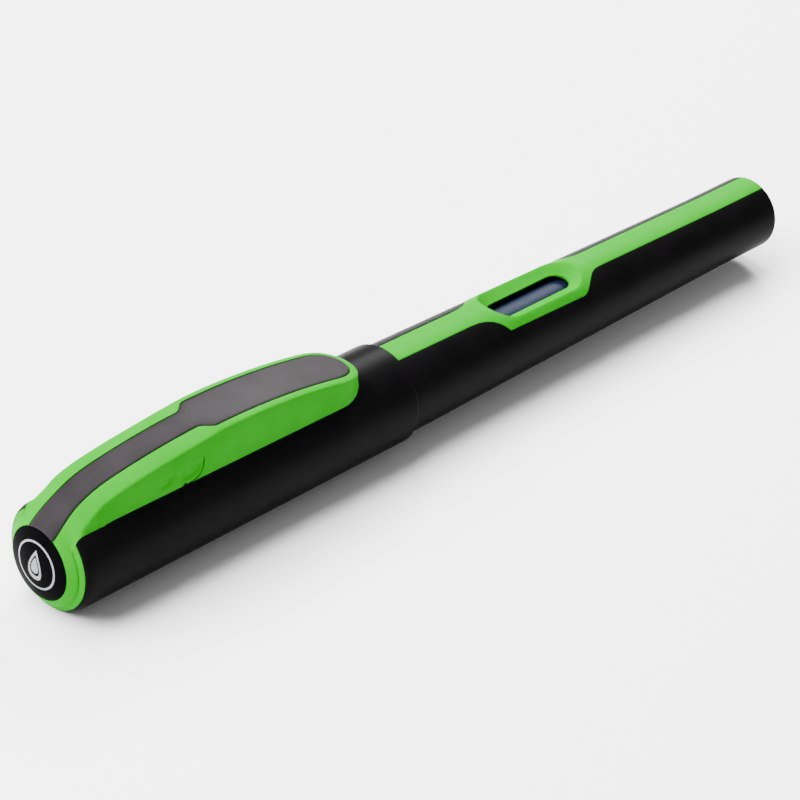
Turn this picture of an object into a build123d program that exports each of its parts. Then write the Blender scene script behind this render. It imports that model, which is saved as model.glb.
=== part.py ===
"""Capped cartridge fountain pen with a sprung clip and an ink window in the barrel.

Frame: the pen lies along X with the closed end of the cap towards -X, the clip
is on +Z, and Z = 0 is the surface that the cap rests on. Lengths are millimetres.
Stations are distances along the pen from the front edge of the black cap tube,
positive towards the barrel's end, and heights are measured from the pen's axis.
"""
from build123d import *
import os
from math import cos, pi, sin, sqrt

os.makedirs("parts", exist_ok=True)

# ---------------------------------------------------------------- driving dimensions
SEAM = 0.05                    # gap left along a visible joint line between two mouldings

# cap
CAP_RADIUS = 7.25
CAP_LIP_RADIUS = 7.0
CAP_LIP = 58.5                 # station of the open end
CAP_BORE = 6.55
CAP_SHOULDER = (0.60, 6.78)    # front edge of the tube's rounded shoulder
CAP_SHOULDER_MID = (1.4, 7.12)
CAP_FULL = 2.8                 # station where the shoulder ends
CAP_LIP_BEVEL = 0.3
LINER_RADIUS = 6.52
LINER_BORE = 5.75
LINER_END = 47.0
LINER_WALL_END = 2.6           # inner face of the closed end

# crown and medallion
CROWN_EDGE = (-0.85, 4.95)     # rim around the medallion
CROWN_BACK = (0.10, 6.05)      # widest edge of the crown
MEDALLION_RISE = 0.75
MEDALLION_SEAT = -0.20
PEG_RADIUS = 3.2
PIN_RADIUS = 1.2

# clip
CLIP_PEAK = (26.0, 11.32)      # highest point of the clip
CLIP_SAG = 0.005               # fall per square millimetre from the peak
CLIP_HEAD = 9.0                # the clip drops faster in front of this station
CLIP_HEAD_SAG = 0.0064
CLIP_HEAD_POWER = 2.64
CLIP_HALF_WIDTH = 4.55
CLIP_EDGE = 4.15               # half width at the edge between the top and the flank
CLIP_EDGE_DROP = (0.60, 0.22)  # fall from the inlay to that edge, at the back and at the front
CLIP_FOLD = (4.42, 2.0)        # half width and depth of the faint crease on the flank
CLIP_SKIRT = 5.6               # height of the flank's lower edge
CLIP_NOSE = (45.7, 51.2)       # where the rounded nose starts and ends
NOSE_FULLNESS = 0.62           # share of each side that the nose's curve leans on
CLIP_ROOT_END = 5.4            # the clip's root fills a keyway in the cap up to here
CLIP_ROOT_STEP = 2.4
CLIP_ROOT_DEPTH = 5.65         # radius of the keyway's floor in front of the step
CLIP_STATIONS = (-0.85, 0.3, 1.6, 3.5, 6, 10, 15, 20, 22, 23.5, 25, 28, 34, 40, 46, 48, 51.4)
CLIP_SLIT = 21.7               # where the sprung arm begins
CLIP_SLIT_GAP = 0.20
CLIP_GAP = 0.15                # clearance between the clip and the cap
CLIP_ROOF = 1.9                # from the top surface to the channel under it
CHANNEL_HALF_WIDTH = 3.0
NOSE_RIB = (44.5, 1.6, 8.2, 2.4)  # start, length, middle height and height of the rib that grips cloth
INLAY_DEPTH = 0.6
INLAY_NARROW = 1.85            # half widths of the inlay behind and ahead of its step
INLAY_WIDE = 3.1
INLAY_END = 50.3
INLAY_NOSE = 4.0               # length of its rounded end

# barrel
BARREL_MOUTH = 55.6
BARREL_END = 137.4
BARREL_RADIUS = 6.46           # at the cap's lip
TAPER_START = 60.0
TAIL_START = 126.0             # the last stretch is cylindrical
TAIL_RADIUS = 5.42
RIM_ROUND = 0.6
SLEEVE_WALL = 0.75
CORE_BORE = 4.55
CORE_BORE_END = 135.0
THREAD_ROOT = 5.25
THREAD_CREST = 5.05
THREAD_PITCH = 1.2
THREAD_TURNS = 4
STRIP_HALF_WIDTH = 1.95        # green strip that runs along the barrel
STRIP_FLOOR = 2.4              # height of the strip's seat in the sleeve
BEZEL_HALF_WIDTH = 4.4
BEZEL = (73.0, 78.7, 94.0, 99.6)    # start, shoulders and end of the wide part
BEZEL_PROUD = 0.12
BEZEL_FACE_FLOOR = 3.2
WINDOW_START = 79.4
WINDOW_END = 94.7
WINDOW_HALF_WIDTH = 1.8
WINDOW_RIM = (76.3, 96.8, 5.3)      # ends and half width of the funnel above the slot

# section, nib and feed
SECTION_FRONT = 22.5
SECTION_FLANGE = (50.6, 53.6, 6.2)  # ends and radius
SNAP_BEAD = (46.0, 5.68)
SPIGOT_END = 62.4
SPIGOT_CREST = 4.95
SPIGOT_ROOT = 4.72
SPIGOT_BORE = 4.2
RING_FRONT = 54.75
RING_RADIUS = 6.35
RING_BORE = 5.02
RING_BEVEL = 0.2
O_RING = (54.17, 5.5, 0.5)          # station, radius and thickness radius of the seal
SECTION_NECK = 5.3                  # radius in front of the snap bead
PAD = (26.2, 45.2)                  # ends of the grip pad
PAD_SEAT = (4.15, 4.45)             # radii of its seat at the front and the back
PAD_FACE = (4.68, 4.85, 5.28)       # radii of its face at the front, 3 mm behind it and at the back
PAD_RIBS = 9
PAD_RIB_START = 2.5
PAD_RIB_PITCH = 1.7
PAD_GROOVE = (0.5, 4.72, 0.02)      # width, floor radius at the pad's front and its growth per mm
PAD_GROOVE_LOW = -1.6               # the grooves stop at this height on the underside
NIB_TIP = 8.5
NIB_TAIL = 35.0
NIB_RADIUS = 3.05
NIB_TIP_RADIUS = 1.5
NIB_SHOULDER = 20.5
NIB_SHEET = 0.22
FEED_GAP = 0.03
BREATHER = 16.5
BREATHER_RADIUS = 0.55
NIB_TIP_HALF = 0.28                 # half widths of the sheet at the tip, the waist and the shoulder
NIB_WAIST = (14.0, 1.35)
NIB_HALF_WIDTH = 2.75
NIB_SLIT = 0.06
NIB_POINT_RADIUS = 0.36
FEED_TIP = (10.7, 0.9)
FEED_CHIN = (17.5, -2.2)
INK_CHANNEL = (22.0, 24.0, 0.3)     # middle, length and width
FIN_COUNT = 9
FIN_START = 13.2
FIN_PITCH = 0.85
FIN_SLOT = (0.35, 3.4, -2.0)        # length, height and height of its middle
COLLAR_BORE = 3.1
COLLAR_RADIUS = 3.85
COLLAR_FRONT = 23.5
COLLAR_BACK = 50.2
TUBE_RADIUS = 1.15                  # piercing tube that opens the cartridge
TUBE_END = 56.2

# cartridge
CARTRIDGE_FRONT = 50.5
CARTRIDGE_LENGTH = 72.6
CARTRIDGE_RADIUS = 3.7
CARTRIDGE_WALL = 0.4
NECK_RADIUS = 2.35
NECK_LENGTH = 5.0
INK_LEVEL = 1.4                     # height of the ink's surface above the axis
BALL_RADIUS = 1.35

# ---------------------------------------------------------------- frame
PEN_START = CROWN_EDGE[0] - MEDALLION_RISE
MIDDLE = (PEN_START + BARREL_END) / 2
AXIS_HEIGHT = CAP_RADIUS
ORIGIN = (-MIDDLE, 0, AXIS_HEIGHT)
SIDE = Plane(origin=ORIGIN, x_dir=(1, 0, 0), z_dir=(0, -1, 0))   # station, height
PLAN = Plane(origin=ORIGIN, x_dir=(1, 0, 0), z_dir=(0, 0, 1))    # station, side
AXLE = Axis(ORIGIN, (1, 0, 0))


def cross_plane(station):
    """Plane across the pen at a station: local x is the side, local y the height."""
    return Plane(origin=(station - MIDDLE, 0, AXIS_HEIGHT), x_dir=(0, 1, 0), z_dir=(1, 0, 0))


def turned(points):
    """Solid of revolution about the pen's axis from a closed outline of stations and radii."""
    with BuildPart() as body:
        with BuildSketch(SIDE):
            with BuildLine():
                Polyline(*points, close=True)
            make_face()
        revolve(axis=AXLE)
    return body.part


def upright_box(start, end, half_width):
    """Box over the pen's axis between two stations."""
    with BuildPart() as body:
        with BuildSketch(PLAN):
            with Locations(((start + end) / 2, 0)):
                Rectangle(end - start, 2 * half_width)
        extrude(amount=15)
    return body.part


def keyway(floor, end):
    """Slot on the clip's side of the cap, down to a floor radius, for the clip's root."""
    with BuildPart() as body:
        add(turned([(CROWN_BACK[0], floor), (CROWN_BACK[0], 9), (end, 9), (end, floor)]))
        add(upright_box(-1, end + 1, CLIP_HALF_WIDTH + SEAM), mode=Mode.INTERSECT)
    return body.part


# ---------------------------------------------------------------- cap tube and liner
with BuildPart() as cap_tube:
    add(
        turned(
            [
                (CAP_SHOULDER[0], CAP_BORE),
                CAP_SHOULDER,
                CAP_SHOULDER_MID,
                (CAP_FULL, CAP_RADIUS),
                (CAP_LIP - CAP_LIP_BEVEL, CAP_LIP_RADIUS),
                (CAP_LIP, CAP_LIP_RADIUS - CAP_LIP_BEVEL),
                (CAP_LIP, CAP_BORE),
            ]
        )
    )
    add(keyway(CLIP_ROOT_DEPTH, CLIP_ROOT_END + SEAM), mode=Mode.SUBTRACT)
cap_tube.part.label = "cap_tube"
export_step(cap_tube.part, "parts/cap_tube.step")

with BuildPart() as inner_cap:
    add(
        turned(
            [
                (CROWN_BACK[0] + SEAM, PEG_RADIUS + 0.02),
                (CROWN_BACK[0] + SEAM, CROWN_BACK[1] - 0.02),
                (CAP_SHOULDER[0] - SEAM - 0.04, CAP_SHOULDER[1] - 0.06),
                (CAP_SHOULDER[0] - SEAM, CAP_SHOULDER[1] - 0.06),
                (CAP_SHOULDER[0] - SEAM, CLIP_ROOT_DEPTH),
                (CLIP_ROOT_STEP, CLIP_ROOT_DEPTH),
                (CLIP_ROOT_STEP, LINER_RADIUS),
                (LINER_END, LINER_RADIUS),
                (LINER_END, LINER_BORE),
                (LINER_WALL_END, LINER_BORE),
                (LINER_WALL_END, PEG_RADIUS + 0.02),
            ]
        )
    )
    add(keyway(CLIP_ROOT_DEPTH - SEAM, CLIP_ROOT_STEP), mode=Mode.SUBTRACT)
inner_cap.part.label = "inner_cap"
export_step(inner_cap.part, "parts/inner_cap.step")

with BuildPart() as end_medallion:
    with BuildSketch(SIDE):
        rim = (CROWN_EDGE[0], CROWN_EDGE[1] - SEAM)
        dome_radius = (rim[1] ** 2 + MEDALLION_RISE**2) / (2 * MEDALLION_RISE)
        half_way = rim[1] / 2
        half_drop = dome_radius - sqrt(dome_radius**2 - half_way**2)
        with BuildLine():
            ThreePointArc((PEN_START, 0), (PEN_START + half_drop, half_way), rim)
            Polyline(
                rim,
                (MEDALLION_SEAT - 0.02, rim[1]),
                (MEDALLION_SEAT - 0.02, PIN_RADIUS),
                (1.9, PIN_RADIUS),
                (1.9, 0),
                (PEN_START, 0),
            )
        make_face()
    revolve(axis=AXLE)
end_medallion.part.label = "end_medallion"
export_step(end_medallion.part, "parts/end_medallion.step")


# ---------------------------------------------------------------- clip
def clip_top(station):
    """Height of the clip's top surface above the pen's axis."""
    height = CLIP_PEAK[1] - CLIP_SAG * (station - CLIP_PEAK[0]) ** 2
    if station < CLIP_HEAD:
        height -= CLIP_HEAD_SAG * (CLIP_HEAD - station) ** CLIP_HEAD_POWER
    return height


def blend(station, start, end, first, last):
    """Smooth change from first to last between two stations."""
    t = min(max((station - start) / (end - start), 0), 1)
    return first + (last - first) * t * t * (3 - 2 * t)


def rounded_end(start, end, half_width, fullness):
    """Curve from the side to the centre line of a rounded end; a fullness of 0.55 is round."""
    reach = (end - start) * fullness
    turn = half_width * (1 - fullness)
    Bezier((start, half_width), (start + reach, half_width), (end, half_width - turn), (end, 0))


def clip_outline(station):
    """Closed cross-section of the clip: top, edge, creased flank and flat underside."""
    top = clip_top(station)
    skirt = blend(station, CROWN_EDGE[0], 0.9, 3.2, CLIP_SKIRT)
    height = top - skirt
    inlay = blend(station, 21.0, 26.0, INLAY_NARROW + 0.08, INLAY_WIDE + 0.08)
    drop = blend(station, 16.0, 28.0, *CLIP_EDGE_DROP)
    head = blend(station, CROWN_EDGE[0], 2.0, 0.84, 1.0)
    right = [
        (inlay, top),
        (CLIP_EDGE * head, top - min(drop, 0.3 * height)),
        (CLIP_FOLD[0] * head, top - min(CLIP_FOLD[1], 0.65 * height)),
        (CLIP_HALF_WIDTH * head, skirt),
    ]
    left = [(-side, up) for side, up in reversed(right)]
    return right + left


def clip_moulding():
    """The whole clip with its channel, before the inlay's seat and the slit are cut."""
    with BuildPart() as body:
        for station in CLIP_STATIONS:
            with BuildSketch(cross_plane(station)):
                with BuildLine():
                    Polyline(*clip_outline(station), close=True)
                make_face()
        loft()
        with BuildSketch(PLAN):
            with BuildLine():
                Polyline((-3, 0), (-3, CLIP_HALF_WIDTH + 0.1), (CLIP_NOSE[0], CLIP_HALF_WIDTH + 0.1))
                rounded_end(CLIP_NOSE[0], CLIP_NOSE[1], CLIP_HALF_WIDTH + 0.1, NOSE_FULLNESS)
                mirror(about=Plane.XZ)
            make_face()
        extrude(amount=20, mode=Mode.INTERSECT)
        with BuildSketch(SIDE):
            stops = [6.5, 10, 16, 22, 28, 36, 43, 48]
            roof = [(stop, clip_top(stop) - CLIP_ROOF) for stop in stops]
            with BuildLine():
                Spline(*roof)
                Polyline(roof[-1], (stops[-1], 5), (stops[0], 5), roof[0])
            make_face()
        extrude(amount=CHANNEL_HALF_WIDTH, both=True, mode=Mode.SUBTRACT)
        with BuildSketch(cross_plane(NOSE_RIB[0])):
            with Locations((0, NOSE_RIB[2])):
                Rectangle(2 * CHANNEL_HALF_WIDTH + 0.4, NOSE_RIB[3])
        extrude(amount=NOSE_RIB[1])
        add(
            turned(
                [
                    (CROWN_BACK[0], 0),
                    (CROWN_BACK[0], CLIP_ROOT_DEPTH),
                    (CLIP_ROOT_STEP, CLIP_ROOT_DEPTH),
                    (CLIP_ROOT_STEP, CAP_BORE),
                    (CLIP_ROOT_END, CAP_BORE),
                    (CLIP_ROOT_END, CAP_RADIUS + CLIP_GAP),
                    (CAP_LIP, CAP_LIP_RADIUS + CLIP_GAP),
                    (CAP_LIP, 0),
                ]
            ),
            mode=Mode.SUBTRACT,
        )
    return body.part


def clip_root():
    """Key that fills the slot in the cap, flush with the cap's shoulder."""
    with BuildPart() as body:
        add(
            turned(
                [
                    (CROWN_BACK[0], CLIP_ROOT_DEPTH),
                    CROWN_BACK,
                    CAP_SHOULDER,
                    CAP_SHOULDER_MID,
                    (CAP_FULL, CAP_RADIUS),
                    (CLIP_ROOT_END, CAP_RADIUS),
                    (CLIP_ROOT_END, CAP_BORE),
                    (CLIP_ROOT_STEP, CAP_BORE),
                    (CLIP_ROOT_STEP, CLIP_ROOT_DEPTH),
                ]
            )
        )
        add(upright_box(-1, CLIP_ROOT_END + 1, CLIP_HALF_WIDTH), mode=Mode.INTERSECT)
    return body.part


def inlay_space(margin):
    """Space over the inlay's seat, grown by a margin on its sides and below."""
    stops = [CROWN_EDGE[0] - 0.4, 0.3, 1.6, 3.5, 6, 10, 15, 20, 26, 32, 38, 44, 51]
    top = [(stop, clip_top(stop) + 2) for stop in stops]
    under = []
    for stop in reversed(stops):
        depth = blend(stop, 0, 6, INLAY_DEPTH / 2, INLAY_DEPTH)
        under.append((stop, clip_top(stop) - depth - margin))
    narrow = INLAY_NARROW + margin
    wide = INLAY_WIDE + margin
    tip = INLAY_END + margin
    with BuildPart() as body:
        with BuildSketch(SIDE):
            with BuildLine():
                Spline(*top)
                Line(top[-1], under[0])
                Spline(*under)
                Line(under[-1], top[0])
            make_face()
        extrude(amount=2 * INLAY_WIDE, both=True)
        with BuildSketch(PLAN):
            with BuildLine():
                Polyline((-3, 0), (-3, narrow + 0.25), (-0.4, narrow + 0.25))
                Bezier((-0.4, narrow + 0.25), (1.2, narrow), (2.4, narrow), (4.0, narrow))
                Line((4.0, narrow), (21.8, narrow))
                Bezier((21.8, narrow), (23.6, narrow), (23.4, wide), (25.2, wide))
                Line((25.2, wide), (tip - INLAY_NOSE, wide))
                rounded_end(tip - INLAY_NOSE, tip, wide, NOSE_FULLNESS)
                mirror(about=Plane.XZ)
            make_face()
        extrude(amount=20, mode=Mode.INTERSECT)
    return body.part


def disc(start, end, radius):
    """Solid cylinder on the pen's axis between two stations."""
    return turned([(start, 0), (start, radius), (end, radius), (end, 0)])


BASE_END = Plane(origin=(CLIP_SLIT - MIDDLE, 0, 0), z_dir=(1, 0, 0))
ARM_START = BASE_END.offset(CLIP_SLIT_GAP)


def clip_blank():
    """Clip, root and crown as one piece, before the inlay's seat and the slit are cut."""
    with BuildPart() as body:
        add(clip_moulding())
        add(clip_root())
        add(
            turned(
                [
                    (CROWN_EDGE[0], 0),
                    CROWN_EDGE,
                    CROWN_BACK,
                    (CROWN_BACK[0], PEG_RADIUS),
                    (LINER_WALL_END - 0.1, PEG_RADIUS),
                    (LINER_WALL_END - 0.1, 0),
                ]
            )
        )
        add(disc(CROWN_EDGE[0] - 3, MEDALLION_SEAT, CROWN_EDGE[1]), mode=Mode.SUBTRACT)
        add(disc(-1, 3, PIN_RADIUS + 0.02), mode=Mode.SUBTRACT)
    return body.part


with BuildPart() as clip_base:
    add(clip_blank())
    add(inlay_space(SEAM), mode=Mode.SUBTRACT)
    split(bisect_by=BASE_END, keep=Keep.BOTTOM)
clip_base.part.label = "clip_base"
export_step(clip_base.part, "parts/clip_base.step")

with BuildPart() as clip_arm:
    add(clip_blank())
    add(inlay_space(SEAM), mode=Mode.SUBTRACT)
    split(bisect_by=ARM_START, keep=Keep.TOP)
clip_arm.part.label = "clip_arm"
export_step(clip_arm.part, "parts/clip_arm.step")

with BuildPart() as clip_inlay_rear:
    add(clip_blank())
    add(inlay_space(0), mode=Mode.INTERSECT)
    split(bisect_by=BASE_END, keep=Keep.BOTTOM)
clip_inlay_rear.part.label = "clip_inlay_rear"
export_step(clip_inlay_rear.part, "parts/clip_inlay_rear.step")

with BuildPart() as clip_inlay_front:
    add(clip_blank())
    add(inlay_space(0), mode=Mode.INTERSECT)
    split(bisect_by=ARM_START, keep=Keep.TOP)
clip_inlay_front.part.label = "clip_inlay_front"
export_step(clip_inlay_front.part, "parts/clip_inlay_front.step")


# ---------------------------------------------------------------- barrel
def barrel_outline(inset, end):
    """Half outline of the barrel's outer surface, moved inwards by inset."""
    return [
        (BARREL_MOUTH, 0),
        (BARREL_MOUTH, BARREL_RADIUS - inset),
        (TAPER_START, BARREL_RADIUS - inset),
        (TAIL_START, TAIL_RADIUS - inset),
        (end - RIM_ROUND, TAIL_RADIUS - inset),
        (end - RIM_ROUND / 3, TAIL_RADIUS - inset - RIM_ROUND / 3),
        (end, TAIL_RADIUS - inset - RIM_ROUND),
        (end, 0),
    ]


def strip_prism(margin):
    """Upright prism over the green strip and the window's bezel, grown by a margin."""
    side = STRIP_HALF_WIDTH + margin
    wide = BEZEL_HALF_WIDTH + margin
    with BuildPart() as body:
        with BuildSketch(PLAN.offset(STRIP_FLOOR)):
            with BuildLine():
                Polyline((BARREL_MOUTH - 1, 0), (BARREL_MOUTH - 1, side), (BEZEL[0], side))
                Spline((BEZEL[0], side), (BEZEL[1], wide), tangents=[(1, 0), (1, 0.75)])
                Line((BEZEL[1], wide), (BEZEL[2], wide))
                Spline((BEZEL[2], wide), (BEZEL[3], side), tangents=[(1, -0.1), (1, 0)])
                Line((BEZEL[3], side), (BARREL_END + 1, side))
                mirror(about=Plane.XZ)
                Line((BARREL_END + 1, side), (BARREL_END + 1, -side))
            make_face()
        extrude(amount=8)
    return body.part


def window_funnel():
    """Cutter for the ink window: a slot through the wall with a flared mouth."""
    centre = (WINDOW_START + WINDOW_END) / 2
    rim_centre = (WINDOW_RIM[0] + WINDOW_RIM[1]) / 2
    with BuildPart() as body:
        with BuildSketch(PLAN.offset(4.4)):
            with Locations((centre, 0)):
                SlotOverall(WINDOW_END - WINDOW_START, 2 * WINDOW_HALF_WIDTH)
        with BuildSketch(PLAN.offset(6.7)):
            with Locations((rim_centre, 0)):
                SlotOverall(WINDOW_RIM[1] - WINDOW_RIM[0], 2 * WINDOW_RIM[2])
        loft()
        with BuildSketch(PLAN.offset(2.0)):
            with Locations((centre, 0)):
                SlotOverall(WINDOW_END - WINDOW_START, 2 * WINDOW_HALF_WIDTH)
        extrude(amount=2.4)
    return body.part


def bezel_rise():
    """Slightly proud skin of the bezel around the window."""
    with BuildPart() as body:
        add(turned(barrel_outline(-BEZEL_PROUD, BARREL_END)))
        with BuildSketch(PLAN.offset(BEZEL_FACE_FLOOR)):
            with Locations(((BEZEL[1] + BEZEL[2]) / 2, 0)):
                RectangleRounded(BEZEL[2] - BEZEL[1] + 0.9, 2 * BEZEL_HALF_WIDTH - 0.4, 1.3)
        extrude(amount=8, mode=Mode.INTERSECT)
    return body.part


with BuildPart() as barrel_core:
    add(turned(barrel_outline(0, BARREL_END)))
    add(strip_prism(0), mode=Mode.INTERSECT)
    add(bezel_rise())
    add(turned(barrel_outline(SLEEVE_WALL + 0.02, BARREL_END - 1.5)))
    add(disc(BARREL_MOUTH - 1, CORE_BORE_END, CORE_BORE), mode=Mode.SUBTRACT)
    add(disc(BARREL_MOUTH - 1, SPIGOT_END + 0.6, THREAD_CREST), mode=Mode.SUBTRACT)
    for turn in range(THREAD_TURNS):
        groove = BARREL_MOUTH + 1.0 + turn * THREAD_PITCH
        add(disc(groove, groove + THREAD_PITCH / 2, THREAD_ROOT), mode=Mode.SUBTRACT)
    add(window_funnel(), mode=Mode.SUBTRACT)
barrel_core.part.label = "barrel_core"
export_step(barrel_core.part, "parts/barrel_core.step")

with BuildPart() as barrel_sleeve:
    add(turned(barrel_outline(0, BARREL_END)))
    add(turned(barrel_outline(SLEEVE_WALL, BARREL_END - 1.45)), mode=Mode.SUBTRACT)
    add(strip_prism(SEAM), mode=Mode.SUBTRACT)
barrel_sleeve.part.label = "barrel_sleeve"
export_step(barrel_sleeve.part, "parts/barrel_sleeve.step")

with BuildPart() as barrel_ring:
    add(
        turned(
            [
                (RING_FRONT, RING_BORE),
                (RING_FRONT, RING_RADIUS - RING_BEVEL),
                (RING_FRONT + RING_BEVEL, RING_RADIUS),
                (BARREL_MOUTH - SEAM, RING_RADIUS),
                (BARREL_MOUTH - SEAM, RING_BORE),
            ]
        )
    )
barrel_ring.part.label = "barrel_ring"
export_step(barrel_ring.part, "parts/barrel_ring.step")

with BuildPart() as o_ring:
    with BuildSketch(SIDE):
        with Locations(O_RING[:2]):
            Circle(O_RING[2])
    revolve(axis=AXLE)
o_ring.part.label = "o_ring"
export_step(o_ring.part, "parts/o_ring.step")

# ---------------------------------------------------------------- section and grip
with BuildPart() as grip_section:
    add(
        turned(
            [
                (SECTION_FRONT, COLLAR_BORE + 0.2),
                (SECTION_FRONT, 4.0),
                (SECTION_FRONT + 0.5, 4.45),
                (PAD[0], 4.7),
                (PAD[0], PAD_SEAT[0]),
                (PAD[1], PAD_SEAT[1]),
                (PAD[1], SECTION_NECK),
                (SNAP_BEAD[0], SECTION_NECK),
                (SNAP_BEAD[0] + 0.3, SNAP_BEAD[1]),
                (SNAP_BEAD[0] + 0.8, SNAP_BEAD[1]),
                (SNAP_BEAD[0] + 1.1, 5.35),
                (SECTION_FLANGE[0], 5.6),
                (SECTION_FLANGE[0] + 0.5, SECTION_FLANGE[2]),
                (SECTION_FLANGE[1], SECTION_FLANGE[2]),
                (SECTION_FLANGE[1], SPIGOT_CREST),
                (BARREL_MOUTH + 0.4, SPIGOT_CREST),
                (BARREL_MOUTH + 0.4, SPIGOT_ROOT),
                (SPIGOT_END - 0.3, SPIGOT_ROOT),
                (SPIGOT_END, SPIGOT_ROOT - 0.3),
                (SPIGOT_END, SPIGOT_BORE),
                (COLLAR_BACK + 0.1, SPIGOT_BORE),
                (COLLAR_BACK + 0.1, COLLAR_RADIUS + 0.02),
                (COLLAR_FRONT - 0.1, COLLAR_RADIUS + 0.02),
                (COLLAR_FRONT - 0.1, COLLAR_BORE + 0.2),
            ]
        )
    )
    for turn in range(THREAD_TURNS):
        ridge = BARREL_MOUTH + 1.2 + turn * THREAD_PITCH
        add(
            turned(
                [
                    (ridge, SPIGOT_ROOT - 0.1),
                    (ridge + 0.1, SPIGOT_CREST),
                    (ridge + 0.5, SPIGOT_CREST),
                    (ridge + 0.6, SPIGOT_ROOT - 0.1),
                ]
            )
        )
grip_section.part.label = "grip_section"
export_step(grip_section.part, "parts/grip_section.step")

with BuildPart() as grip_pad:
    add(
        turned(
            [
                (PAD[0] + SEAM, PAD_SEAT[0] + 0.02),
                (PAD[0] + SEAM, PAD_FACE[0]),
                (PAD[0] + 3, PAD_FACE[1]),
                (PAD[1] - SEAM, PAD_FACE[2]),
                (PAD[1] - SEAM, PAD_SEAT[1] + 0.02),
            ]
        )
    )
    for rib in range(PAD_RIBS):
        along = PAD_RIB_START + rib * PAD_RIB_PITCH
        with BuildSketch(cross_plane(PAD[0] + along)):
            Circle(6)
            Circle(PAD_GROOVE[1] + PAD_GROOVE[2] * along, mode=Mode.SUBTRACT)
            with Locations((0, PAD_GROOVE_LOW)):
                Rectangle(12, 12, mode=Mode.SUBTRACT)
        extrude(amount=PAD_GROOVE[0], mode=Mode.SUBTRACT)
grip_pad.part.label = "grip_pad"
export_step(grip_pad.part, "parts/grip_pad.step")


# ---------------------------------------------------------------- nib and feed
def nib_cone(inset):
    """Solid whose surface is the nib's outer face, moved inwards by inset."""
    return turned(
        [
            (NIB_TIP - 0.5, 0),
            (NIB_TIP - 0.5, NIB_TIP_RADIUS - inset),
            (NIB_SHOULDER, NIB_RADIUS - inset),
            (NIB_TAIL, NIB_RADIUS - inset),
            (NIB_TAIL, 0),
        ]
    )


with BuildPart() as nib:
    add(nib_cone(0))
    add(nib_cone(NIB_SHEET), mode=Mode.SUBTRACT)
    with BuildSketch(PLAN):
        with BuildLine():
            Line((NIB_TIP, 0), (NIB_TIP, NIB_TIP_HALF))
            Spline(
                (NIB_TIP, NIB_TIP_HALF),
                NIB_WAIST,
                (NIB_SHOULDER - 0.6, NIB_HALF_WIDTH),
                tangents=[(1, 0.1), (1, 0.12)],
            )
            Polyline((NIB_SHOULDER - 0.6, NIB_HALF_WIDTH), (NIB_TAIL, NIB_HALF_WIDTH), (NIB_TAIL, 0))
            mirror(about=Plane.XZ)
        make_face()
    extrude(amount=5, mode=Mode.INTERSECT)
    with BuildSketch(PLAN):
        with Locations((BREATHER, 0)):
            Circle(BREATHER_RADIUS)
        with Locations(((NIB_TIP + BREATHER) / 2 - 0.5, 0)):
            Rectangle(BREATHER - NIB_TIP + 1, NIB_SLIT)
    extrude(amount=5, mode=Mode.SUBTRACT)
nib.part.label = "nib"
export_step(nib.part, "parts/nib.step")

with BuildPart() as nib_point:
    with Locations((NIB_TIP - MIDDLE, 0, AXIS_HEIGHT + NIB_TIP_RADIUS - 0.1)):
        Sphere(NIB_POINT_RADIUS)
    with BuildSketch(PLAN):
        with Locations((NIB_TIP + 2, 0)):
            Rectangle(4, 4)
    extrude(amount=5, mode=Mode.SUBTRACT)
nib_point.part.label = "nib_point"
export_step(nib_point.part, "parts/nib_point.step")

with BuildPart() as feed:
    add(nib_cone(NIB_SHEET + FEED_GAP))
    with BuildSketch(SIDE):
        with BuildLine():
            Polyline(
                (FEED_TIP[0], 4),
                FEED_TIP,
                FEED_CHIN,
                (20, -4),
                (NIB_TAIL, -4),
                (NIB_TAIL, 4),
                close=True,
            )
        make_face()
    extrude(amount=5, both=True, mode=Mode.INTERSECT)
    with BuildSketch(PLAN):
        with Locations((INK_CHANNEL[0], 0)):
            Rectangle(INK_CHANNEL[1], INK_CHANNEL[2])
    extrude(amount=4, mode=Mode.SUBTRACT)
    for fin in range(FIN_COUNT):
        with BuildSketch(SIDE):
            with Locations((FIN_START + fin * FIN_PITCH, FIN_SLOT[2])):
                Rectangle(FIN_SLOT[0], FIN_SLOT[1])
        extrude(amount=5, both=True, mode=Mode.SUBTRACT)
feed.part.label = "feed"
export_step(feed.part, "parts/feed.step")

with BuildPart() as feed_collar:
    add(
        turned(
            [
                (COLLAR_FRONT, COLLAR_BORE),
                (COLLAR_FRONT, COLLAR_RADIUS),
                (COLLAR_BACK, COLLAR_RADIUS),
                (COLLAR_BACK, TUBE_RADIUS),
                (TUBE_END - 0.6, TUBE_RADIUS),
                (TUBE_END, TUBE_RADIUS - 0.45),
                (TUBE_END, 0.5),
                (NIB_TAIL + 0.1, 0.5),
                (NIB_TAIL + 0.1, COLLAR_BORE),
            ]
        )
    )
feed_collar.part.label = "feed_collar"
export_step(feed_collar.part, "parts/feed_collar.step")

# ---------------------------------------------------------------- cartridge
CARTRIDGE_BACK = CARTRIDGE_FRONT + CARTRIDGE_LENGTH
SHOULDER = CARTRIDGE_FRONT + NECK_LENGTH


def cartridge_space(inset):
    """Outer shape of the cartridge, moved inwards by inset."""
    return turned(
        [
            (SHOULDER - 0.2 + inset, 0),
            (SHOULDER - 0.2 + inset, NECK_RADIUS - inset),
            (SHOULDER + 1.6 + inset, CARTRIDGE_RADIUS - inset),
            (CARTRIDGE_BACK - 0.8, CARTRIDGE_RADIUS - inset),
            (CARTRIDGE_BACK - inset, CARTRIDGE_RADIUS - 0.8),
            (CARTRIDGE_BACK - inset, 0),
        ]
    )


BALL_STATION = SHOULDER + 30
BALL_HEIGHT = -(CARTRIDGE_RADIUS - CARTRIDGE_WALL - BALL_RADIUS - 0.03)

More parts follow.
